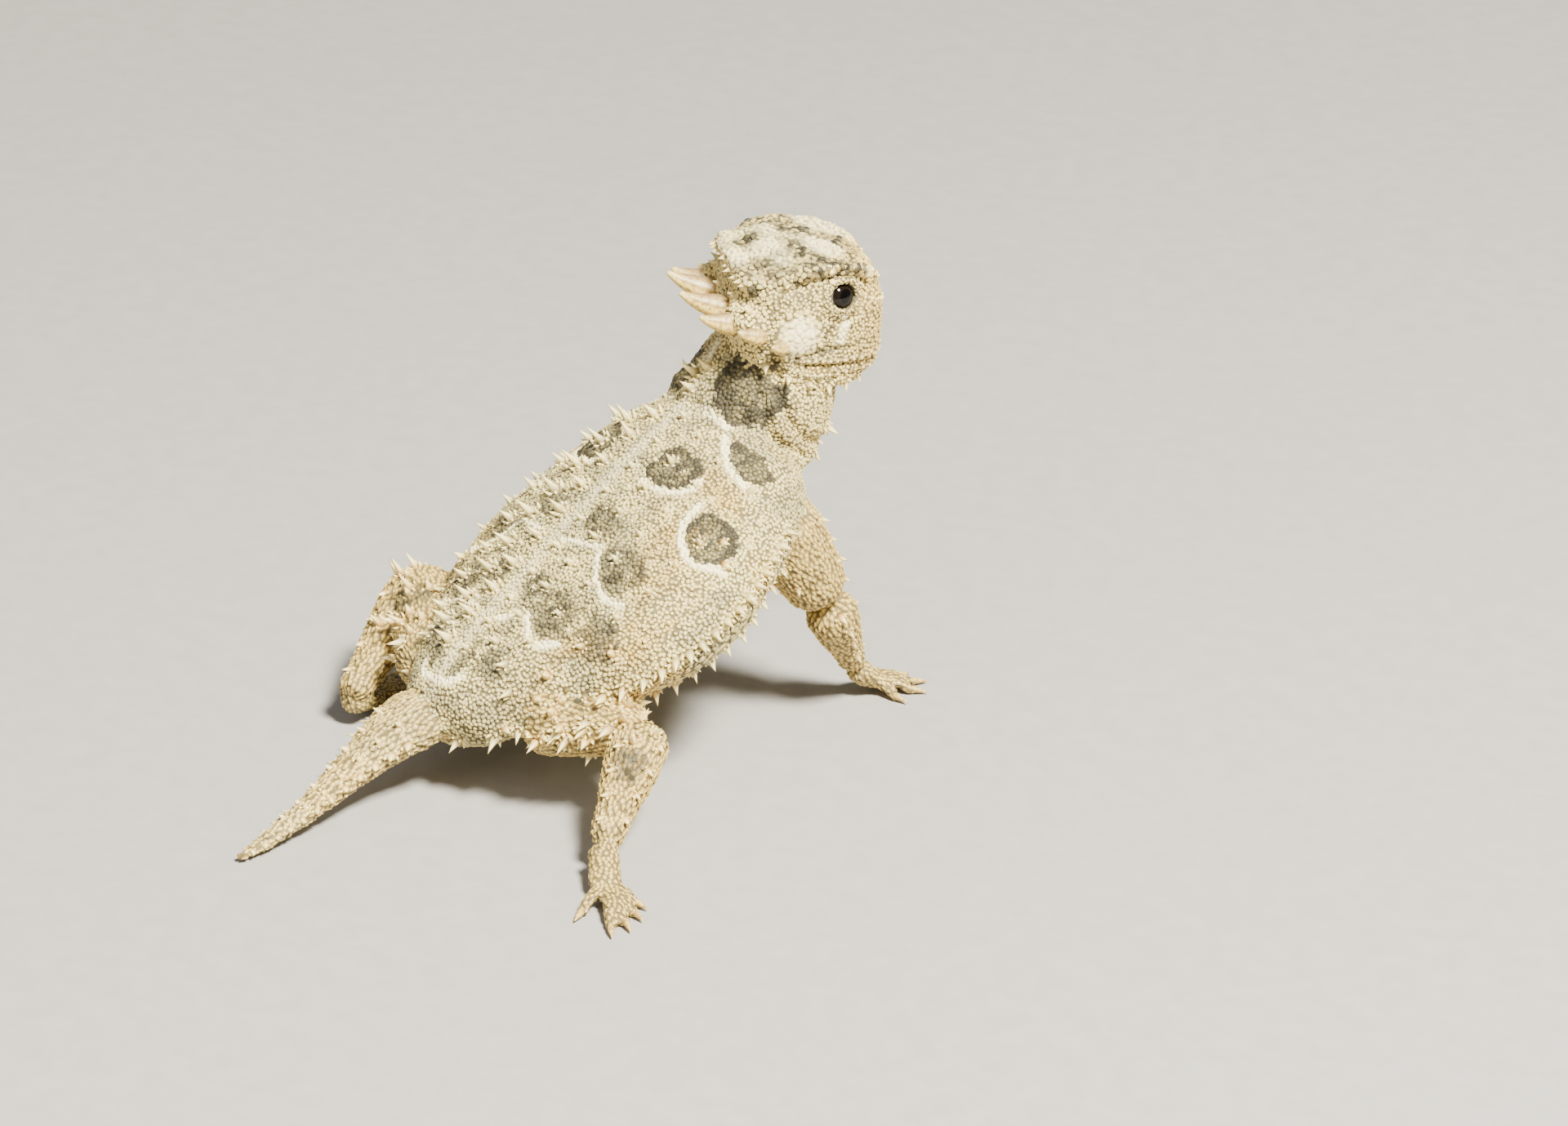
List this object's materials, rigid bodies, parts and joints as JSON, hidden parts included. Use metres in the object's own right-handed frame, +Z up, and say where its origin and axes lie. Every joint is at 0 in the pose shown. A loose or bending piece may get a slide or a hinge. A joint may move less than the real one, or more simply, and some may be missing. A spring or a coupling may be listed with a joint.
{
  "type": "horned lizard figure",
  "caption": "Still life-size horned lizard, propped on its fore legs with the head turned to its right, standing on flat soles and laid tail.",
  "frame": {"origin": "middle of the footprint's bounding box, at the level of the soles", "axes": "+Z up, the animal's head toward -Y, its left side toward +X"},
  "size_m": [0.0488, 0.065, 0.0402],
  "materials": {
    "skin": "dry scaly skin, cream to grey with dark grey blotches edged in white and an orange-tan flank",
    "horn": "pale tan horn, streaked grey-brown to the tip",
    "eye": "near-black wet eye"
  },
  "bodies": {
    "root": {"torso": "skin", "neck": "skin", "head": "skin", "tail": "skin", "upper_arm_right": "skin", "upper_arm_left": "skin", "forearm_right": "skin", "forearm_left": "skin", "hand_right": "skin", "hand_left": "skin", "thigh_right": "skin", "thigh_left": "skin", "shin_right": "skin", "shin_left": "skin", "foot_right": "skin", "foot_left": "skin", "horn_occipital_right": "horn", "horn_occipital_left": "horn", "horn_temporal_rear_right": "horn", "horn_temporal_rear_left": "horn", "horn_temporal_middle_right": "horn", "horn_temporal_middle_left": "horn", "horn_temporal_front_right": "horn", "horn_temporal_front_left": "horn", "eye_right": "eye", "eye_left": "eye"}
  },
  "joints": []
}
